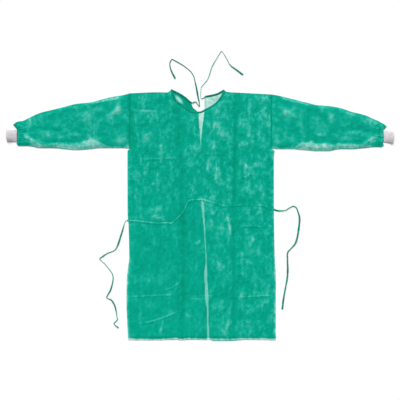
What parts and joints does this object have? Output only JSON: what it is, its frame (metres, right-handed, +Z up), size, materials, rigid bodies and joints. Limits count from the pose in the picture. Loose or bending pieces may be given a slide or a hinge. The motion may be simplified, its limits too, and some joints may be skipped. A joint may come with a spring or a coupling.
{
  "type": "disposable gown",
  "caption": "Disposable isolation gown of thin green nonwoven cloth, laid flat front side up, with knitted white cuffs, bound neck, neck ties and waist ties.",
  "frame": {"origin": "on the floor under the middle of the laid-out gown's box, ties included", "axes": "+X across the sleeves, towards the wearer's left; +Y from hem to neck; +Z up, out of the gown's front"},
  "size_m": [1.7935, 1.3373, 0.0127],
  "materials": {
    "nonwoven_cloth": "matte, mottled spunbond",
    "tape": "matte, folded nonwoven tape",
    "cuff_knit": "matte rib knit"
  },
  "bodies": {
    "root": {"front": "nonwoven_cloth", "back_left": "nonwoven_cloth", "back_right": "nonwoven_cloth", "sleeve_left": "nonwoven_cloth", "sleeve_right": "nonwoven_cloth", "cuff_left": "cuff_knit", "cuff_right": "cuff_knit", "neck_binding_front": "tape", "neck_binding_back_left": "tape", "neck_binding_back_right": "tape", "neck_tie_left": "tape", "neck_tie_right": "tape", "waist_tie_left": "tape", "waist_tie_right": "tape"}
  },
  "joints": []
}
